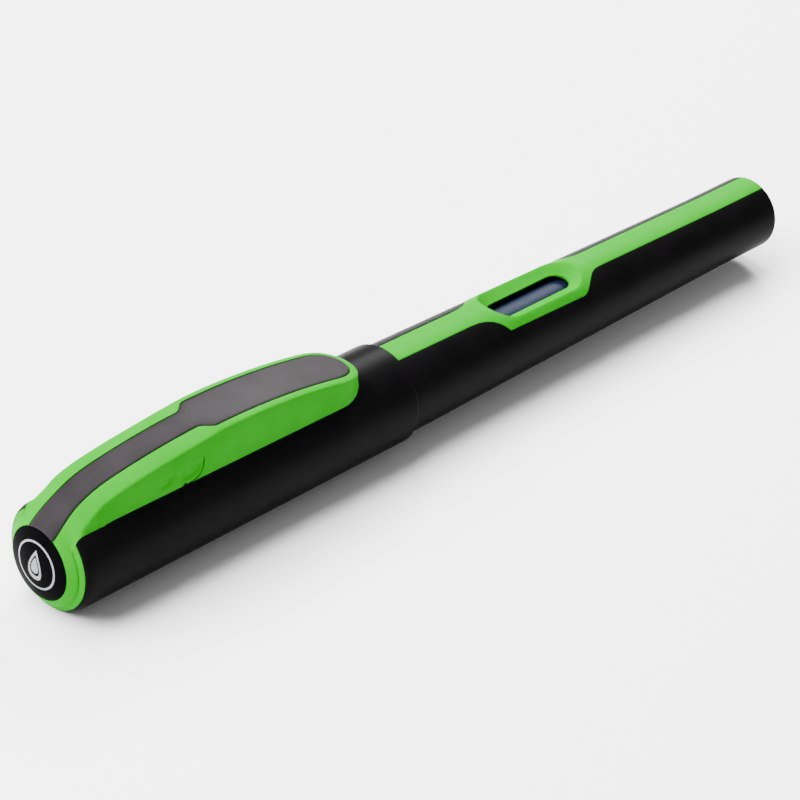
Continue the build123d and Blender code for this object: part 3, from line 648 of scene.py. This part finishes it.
# ---------------------------------------------------------------- clip inlay
def inlay_half(station, side_limit):
    """Half cross-section of the inlay, from its underside's centre out, up and back over the top."""
    edge = side_limit
    depth = smooth_step(station, 0, 6, *SEAT_DEPTH)
    middle_rise = INLAY_RISE * smooth_step(station, -0.8, 6, 0.35, 1)
    under_edge = max(edge - 0.02, 0)

    def top(side):
        share = side / max(inlay_edge(station), 0.01)
        return top_surface(station, side) + middle_rise * (1 - share**2) - 0.03 * share**8

    def floor(side):
        low = top_surface(station, side) - depth + 0.015
        if station < CROWN_FRONT:
            low = arch(CROWN_FRONT_RADIUS - 0.03, side)
        elif station < MEDALLION_SEAT + 0.01:
            low = max(low, arch(CROWN_FRONT_RADIUS + 0.03, side))
        return min(low, top(side) - 0.01)

    soft = min(0.16, edge * 0.4)
    half = [(0, floor(0)), (under_edge / 2, floor(under_edge / 2)), (under_edge, floor(under_edge))]
    half += [(edge, lerp(floor(edge), top(edge), 0.5)), (edge, top(edge) - min(0.12, depth / 3))]
    half += [(edge - soft * 0.3, top(edge - soft * 0.3) - 0.035), (edge - soft, top(edge - soft))]
    for share in (0.9, 0.75, 0.6, 0.45, 0.3, 0.15, 0):
        half.append(((edge - soft) * share, top((edge - soft) * share)))
    return [(station, y, z) for y, z in half]


INLAY_TIP = nose_point(INLAY_WIDE, 0)[0]


def inlay_limit(station):
    """Half width of the inlay with its rounded end at the nose."""
    if station <= NOSE_CENTRE:
        return inlay_edge(station)
    share = min((station - NOSE_CENTRE) / (INLAY_TIP - NOSE_CENTRE), 1)
    return INLAY_WIDE * math.sin(math.acos(share ** (1 / NOSE_POWER))) ** NOSE_POWER


inlay_stations = [CROWN_FRONT - 0.05, CROWN_FRONT - 0.004, CROWN_FRONT + 0.01]
inlay_stations += [-0.6, -0.35, MEDALLION_SEAT, 0.1, 0.5]
inlay_stations += spaced(0.8, 21.6, 0.4)
inlay_stations += spaced(21.8, 25.2, 0.15) + spaced(25.6, NOSE_CENTRE, 0.5)
inlay_stations += [nose_point(INLAY_WIDE, math.pi / 2 * (1 - k / 24))[0] for k in range(1, 24)]
inlay_stations += [INLAY_TIP - 0.001]
inlay_halves = [inlay_half(s, inlay_limit(s)) for s in inlay_stations]
inlay = mesh_object("clip_inlay", *stack(mirrored_rows(inlay_halves)), INLAY_GREY, 40)
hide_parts("clip_inlay_rear", "clip_inlay_front")
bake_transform(inlay)

# ---------------------------------------------------------------- medallion and its mark
MEDALLION_RADIUS = CROWN_FRONT_RADIUS - 0.05
DOME_RADIUS = (MEDALLION_RADIUS**2 + MEDALLION_RISE**2) / (2 * MEDALLION_RISE)


def dome(radius):
    """Station of the medallion's face at a radius."""
    return CROWN_FRONT - MEDALLION_RISE + DOME_RADIUS - arch(DOME_RADIUS, radius)


dome_radii = [AXIS_HOLE + (MEDALLION_RADIUS - 0.14) * k / 24 for k in range(25)]
dome_outline = [(dome(radius), radius) for radius in dome_radii]
dome_outline += [(CROWN_FRONT, MEDALLION_RADIUS - 0.04), (CROWN_FRONT + 0.08, MEDALLION_RADIUS)]
dome_outline += [(MEDALLION_SEAT - 0.02, MEDALLION_RADIUS), (MEDALLION_SEAT - 0.02, AXIS_HOLE)]
medallion = mesh_object("medallion", *lathe(dome_outline, 160), MEDALLION, 40)
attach(medallion, "cap")
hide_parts("end_medallion")


PRINT_BASE, PRINT_FACE = 0.002, 0.014   # heights of the print's edge and face over the dome
RING_RADII = (3.3, 3.05)                # outer and inner edge of the printed ring
DROP_SIZES = (2.15, 1.55, 1.15)         # half heights of the drop's line, outer and inner, and of its core


def drop_loop(size, count=72):
    """Outline of an ink drop of a given half height, as (side, height) points."""
    loop_points = []
    for k in range(count):
        a = 2 * math.pi * k / count
        reach = abs(math.cos(a / 2)) ** 0.9
        wide = math.sin(a) * (1 - reach) ** 0.5
        loop_points.append((size * 0.92 * wide, size * (0.05 + math.cos(a))))
    return loop_points


def printed(outer, inner):
    """Thin print between two loops of (side, height) points, laid on the medallion's dome."""
    def on_dome(point, lift):
        return at(dome(math.hypot(*point)) - lift, *point)

    rows = [[on_dome(p, PRINT_BASE) for p in inner]]
    for t in (0.0, 0.34, 0.67, 1.0):
        rows.append([on_dome(p, PRINT_FACE) for p in between(inner, outer, t)])
    rows.append([on_dome(p, PRINT_BASE) for p in outer])
    return stack(rows, closed_rows=True)


ring_loop = [(math.sin(2 * math.pi * k / 96), math.cos(2 * math.pi * k / 96)) for k in range(96)]
ring_outer, ring_inner = [[(radius * y, radius * z) for y, z in ring_loop] for radius in RING_RADII]
ring_print = printed(ring_outer, ring_inner)
drop_print = printed(drop_loop(DROP_SIZES[0]), drop_loop(DROP_SIZES[1]))
core_print = printed(drop_loop(DROP_SIZES[2]), drop_loop(AXIS_HOLE))
mark = mesh_object("medallion_mark", *merged(ring_print, drop_print, core_print), PRINT, 50)
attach(mark, "cap")


# ---------------------------------------------------------------- barrel
def barrel_radius(station):
    """Outer radius of the barrel."""
    if station < TAPER_START:
        return BARREL_RADIUS
    return lerp(BARREL_RADIUS, TAIL_RADIUS, min((station - TAPER_START) / (TAIL_START - TAPER_START), 1))


def strip_edge(station):
    """Half width of the green strip and of the bezel around the window."""
    if station <= BEZEL_START:
        return STRIP_HALF_WIDTH
    if station < BEZEL_FRONT:
        t = (station - BEZEL_START) / (BEZEL_FRONT - BEZEL_START)
        return lerp(STRIP_HALF_WIDTH, BEZEL_HALF_WIDTH, 0.25 * t * t + 0.75 * t**3)
    if station < BEZEL_REAR:
        return BEZEL_HALF_WIDTH
    return smooth_step(station, BEZEL_REAR, BEZEL_END, BEZEL_HALF_WIDTH, STRIP_HALF_WIDTH)


EDGE_STATIONS = [BARREL_MOUTH, 60.0, 66.0, BEZEL_START] + spaced(BEZEL_START, BEZEL_FRONT, 0.4)[1:]
EDGE_STATIONS += spaced(BEZEL_FRONT, BEZEL_REAR, 0.8)[1:] + spaced(BEZEL_REAR, BEZEL_END, 0.3)[1:]
EDGE_STATIONS += spaced(BEZEL_END, 136.8, 3.0)[1:]


def strip_outline(margin):
    """Closed outline of the strip as (station, side) points, grown by a margin."""
    side = [(s, strip_edge(s) + margin) for s in EDGE_STATIONS]
    side[0] = (BARREL_MOUTH - 1, side[0][1])
    side.append((BARREL_END + 1, side[-1][1]))
    return side + [(s, -y) for s, y in reversed(side)]


inner_radius = BARREL_RADIUS - SLEEVE_WALL
outer = [(BARREL_MOUTH + 0.1, inner_radius), (BARREL_MOUTH, inner_radius + 0.1)]
outer += [(BARREL_MOUTH, BARREL_RADIUS - 0.1), (BARREL_MOUTH + 0.1, BARREL_RADIUS)]
outer += [(s, barrel_radius(s)) for s in spaced(57.0, 136.0, 2.4)]
outer += rim_arc(BARREL_END, TAIL_RADIUS, END_ROUND, 8)
outer += [(BARREL_END, 3.0), (BARREL_END, AXIS_HOLE), (BARREL_END - END_WALL, AXIS_HOLE)]
outer += [(BARREL_END - END_WALL, TAIL_RADIUS - SLEEVE_WALL)]
outer += [(s, barrel_radius(s) - SLEEVE_WALL) for s in reversed(spaced(60.0, 134.0, 8.0))]
sleeve = mesh_object("barrel_shell", *lathe(outer, 256), SOFT_BLACK)
cut(sleeve, mesh_object("strip_cut", *prism(strip_outline(0.05), STRIP_FLOOR, CUT_TOP), SOFT_BLACK))
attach(sleeve, "barrel")
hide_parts("barrel_sleeve")

# green core: threaded tube with an opening under the window
core = [(BARREL_MOUTH, 5.10), (BARREL_MOUTH, inner_radius - 0.02)]
core += [(s, barrel_radius(s) - SLEEVE_WALL - 0.02) for s in spaced(TAPER_START, CORE_END, 4.0)]
core += [(CORE_END, AXIS_HOLE), (CORE_FLOOR, AXIS_HOLE), (CORE_FLOOR, CORE_BORE - 0.2)]
core += [(CORE_FLOOR - 0.2, CORE_BORE), (THREAD_END, CORE_BORE), (THREAD_END, THREAD_CREST)]
for turn in reversed(range(4)):
    groove = THREAD_START + turn * THREAD_PITCH
    core += [(groove + 0.62, THREAD_CREST), (groove + 0.5, THREAD_ROOT)]
    core += [(groove + 0.1, THREAD_ROOT), (groove - 0.02, THREAD_CREST)]
core_tube = mesh_object("barrel_tube", *lathe(core, 160), GREEN)


def stadium(front, rear, half, count=16, stretch=1.0):
    """Points around a slot: right side backwards, rear end, left side, front end."""
    reach = half * stretch
    first, last = front + reach, rear - reach
    points = [(lerp(first, last, k / count), half) for k in range(count)]
    half_turn = [math.pi * k / count for k in range(count)]
    points += [(last + reach * math.sin(a), half * math.cos(a)) for a in half_turn]
    points += [(lerp(last, first, k / count), -half) for k in range(count)]
    points += [(first - reach * math.sin(a), -half * math.cos(a)) for a in half_turn]
    return points


opening = stadium(RIM_FRONT - 0.1, RIM_REAR + 0.1, RIM_HALF_WIDTH + 0.1)
cut(core_tube, mesh_object("opening_cut", *prism(opening, 1.5, CUT_TOP), GREEN))
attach(core_tube, "barrel")
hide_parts("barrel_core")


def bezel_height(station, side):
    """Height of the strip's outer surface, a little proud around the window."""
    edge_in = strip_edge(station) - abs(side)
    along = smooth_step(station, BEZEL_FRONT - 3.2, BEZEL_FRONT, 0, 1)
    along *= smooth_step(station, BEZEL_REAR, BEZEL_REAR + 2.6, 1, 0)
    proud = BEZEL_PROUD * along * min(max(edge_in / BEZEL_SLOPE, 0.1), 1)
    return arch(barrel_radius(station) + proud, side)


# window: rings from the slot out to the bezel's edge, then back along the underside
COUNT = 24                              # points along each side and each end of a loop
PANEL_FRONT, PANEL_REAR = 80.2, 93.4    # stretch of the panel's straight sides
slot_loop = stadium(SLOT_FRONT, SLOT_REAR, SLOT_HALF_WIDTH, COUNT)
rim_loop = stadium(RIM_FRONT, RIM_REAR, RIM_HALF_WIDTH, COUNT, 1.05)
FRONT_END, REAR_END = BEZEL_START, BEZEL_END + 0.4


def across(station, sign):
    """Points across the strip, between its edges, from the side with the given sign."""
    return [(station, sign * strip_edge(station) * (1 - 2 * k / 9)) for k in range(1, 9)]


def boundary_loop():
    """Outer edge of the window's panel, point for point with the slot's loop."""
    straight = spaced(PANEL_FRONT, PANEL_REAR, (PANEL_REAR - PANEL_FRONT) / COUNT)
    rear_right = [93.8, BEZEL_REAR, 94.6, 95.2, 95.9, 96.7, 97.7, REAR_END]
    half_turn = [(s, strip_edge(s)) for s in rear_right]
    rear_half = half_turn + across(REAR_END, 1) + [(s, -y) for s, y in reversed(half_turn)]
    front_right = [79.6, BEZEL_FRONT, 78.2, 77.5, 76.7, 75.6, 74.4, FRONT_END]
    front_turn = [(s, -strip_edge(s)) for s in front_right]
    front_half = front_turn + across(FRONT_END, -1) + [(s, -y) for s, y in reversed(front_turn)]
    loop_points = [(s, strip_edge(s)) for s in straight[:COUNT]]
    loop_points += rear_half[:COUNT]
    loop_points += [(s, -strip_edge(s)) for s in reversed(straight[1:])]
    loop_points += front_half[:COUNT]
    return loop_points


edge_loop = boundary_loop()
rings = []


def add_ring(points, heights):
    rings.append([at(s, y, z) for (s, y), z in zip(points, heights)])


add_ring(slot_loop, [arch(CORE_BORE, y) for _, y in slot_loop])
add_ring(slot_loop, [SLOT_EDGE - 0.08] * len(slot_loop))
FUNNEL = ((0.03, 0.01), (0.10, 0.07), (0.3, 0.27), (0.5, 0.49), (0.7, 0.71), (0.84, 0.865), (0.92, 0.935),
          (0.97, 0.972), (1.0, 0.988))
for t, share in FUNNEL:
    ring = between(slot_loop, rim_loop, t)
    add_ring(ring, [lerp(SLOT_EDGE, bezel_height(*p), share) for p in rim_loop])
for t in (0.06, 0.14, 0.3, 0.5, 0.7, 0.85, 0.94, 0.985):
    ring = between(rim_loop, edge_loop, t)
    lift = 1 if t > 0.1 else 0.997
    add_ring(ring, [bezel_height(*p) * lift for p in ring])
edge_drop = [0 if s in (FRONT_END, REAR_END) else EDGE_DROP for s, _ in edge_loop]
add_ring(edge_loop, [bezel_height(*p) - drop for p, drop in zip(edge_loop, edge_drop)])
add_ring(edge_loop, [arch(barrel_radius(s) - SLEEVE_WALL, y) for s, y in edge_loop])
plug = between(rim_loop, edge_loop, 0.02)
add_ring(plug, [arch(barrel_radius(s) - SLEEVE_WALL, y) for s, y in plug])
add_ring(plug, [arch(CORE_BORE + 0.02, y) for _, y in plug])
panel = stack(rings, closed_rows=True)


STRIP_SHARES = (-1, -0.97, -0.85, -0.65, -0.4, -0.15, 0, 0.15, 0.4, 0.65, 0.85, 0.97, 1)


def strip(stations, rim=False):
    """Green strip along the barrel as a closed bar between two stations, tucked under the panel's ends."""
    line = [(s, barrel_radius(s) - (0.004 if FRONT_END <= s <= REAR_END else 0)) for s in stations]
    if rim:
        line += rim_arc(BARREL_END, TAIL_RADIUS, END_ROUND, 8)
    rows = []
    for s, r in line:
        edge = strip_edge(s)
        row = [(edge * share, arch(r, edge * share)) for share in STRIP_SHARES]
        row[0] = (row[0][0], row[0][1] - EDGE_DROP)
        row[-1] = (row[-1][0], row[-1][1] - EDGE_DROP)
        low = r - SLEEVE_WALL
        row += [(edge, arch(low, edge)), (0, low), (-edge, arch(low, edge))]
        rows.append([at(s, y, z) for y, z in row])
    if rim:
        edge = strip_edge(BARREL_END)
        low = STRIP_FLOOR + 0.01
        row = [(edge * share, low) for share in STRIP_SHARES] + [(edge, low), (0, low), (-edge, low)]
        rows.append([at(BARREL_END, y, z) for y, z in row])
        rows.append([at(BARREL_END - 1.4, y, z) for y, z in row])
    return stack(rows)


front_stations = [BARREL_MOUTH, BARREL_MOUTH + 0.1] + spaced(57.0, FRONT_END - 0.02, 1.5)
front_stations += [FRONT_END, FRONT_END + 0.8]
rear_stations = [REAR_END - 0.8, REAR_END] + spaced(REAR_END + 0.02, 136.4, 2.4)
front_strip = strip(front_stations)
rear_strip = strip(rear_stations, rim=True)
trim = mesh_object("barrel_trim", *merged(panel, front_strip, rear_strip), GREEN, 30)
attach(trim, "barrel")

# ---------------------------------------------------------------- stage, light and camera
floor_mesh = bpy.data.meshes.new("floor")
floor_mesh.from_pydata([(-3, -3, 0), (3, -3, 0), (3, 3, 0), (-3, 3, 0)], [], [(0, 1, 2, 3)])
floor = bpy.data.objects.new("floor", floor_mesh)
bpy.context.scene.collection.objects.link(floor)
floor_paint, _, _, floor_shader = new_material("floor_paint")
floor_shader.inputs["Base Color"].default_value = (0.95, 0.95, 0.95, 1)
floor_shader.inputs["Roughness"].default_value = 0.9
floor_shader.inputs["Specular IOR Level"].default_value = 0.1
floor_mesh.materials.append(floor_paint)

world = bpy.data.worlds.new("studio")
bpy.context.scene.world = world
world.use_nodes = True
world.node_tree.nodes["Background"].inputs["Color"].default_value = (1, 1, 1, 1)
world.node_tree.nodes["Background"].inputs["Strength"].default_value = 0.45


def softbox(name, place, target, size, power):
    lamp = bpy.data.lights.new(name, "AREA")
    lamp.shape = "RECTANGLE"
    lamp.size, lamp.size_y = size
    lamp.energy = power
    obj = bpy.data.objects.new(name, lamp)
    obj.location = place
    obj.rotation_euler = (Vector(target) - Vector(place)).to_track_quat("-Z", "Y").to_euler()
    bpy.context.scene.collection.objects.link(obj)
    return obj


softbox("top_box", (-0.10, 0.30, 0.80), (0, 0, 0), (0.9, 0.6), 30)
softbox("back_box", (0.58, 0.44, 0.52), (0, 0, 0), (0.34, 0.24), 14)
softbox("left_box", (-0.60, 0.30, 0.50), (0, 0, 0), (0.5, 0.4), 18)

AZIMUTH, ELEVATION, ROLL = math.radians(-50.44), math.radians(34.09), math.radians(7.48)
TARGET = at(62.56, 0, -2.80)
DISTANCE = 0.40987
level = math.cos(ELEVATION)
back = Vector((math.sin(AZIMUTH) * level, -math.cos(AZIMUTH) * level, math.sin(ELEVATION)))
right = Vector((0, 0, 1)).cross(back).normalized()
up = back.cross(right)
camera_right = right * math.cos(ROLL) + up * math.sin(ROLL)
camera_up = up * math.cos(ROLL) - right * math.sin(ROLL)
camera_data = bpy.data.cameras.new("camera")
camera_data.sensor_width = 36
camera_data.lens = 137.88
camera_data.clip_start = 0.01
camera_data.clip_end = 20
camera = bpy.data.objects.new("camera", camera_data)
camera.matrix_world = Matrix.Translation(TARGET + back * DISTANCE) @ Matrix(
    (camera_right, camera_up, back)
).transposed().to_4x4()
bpy.context.scene.collection.objects.link(camera)
bpy.context.scene.camera = camera
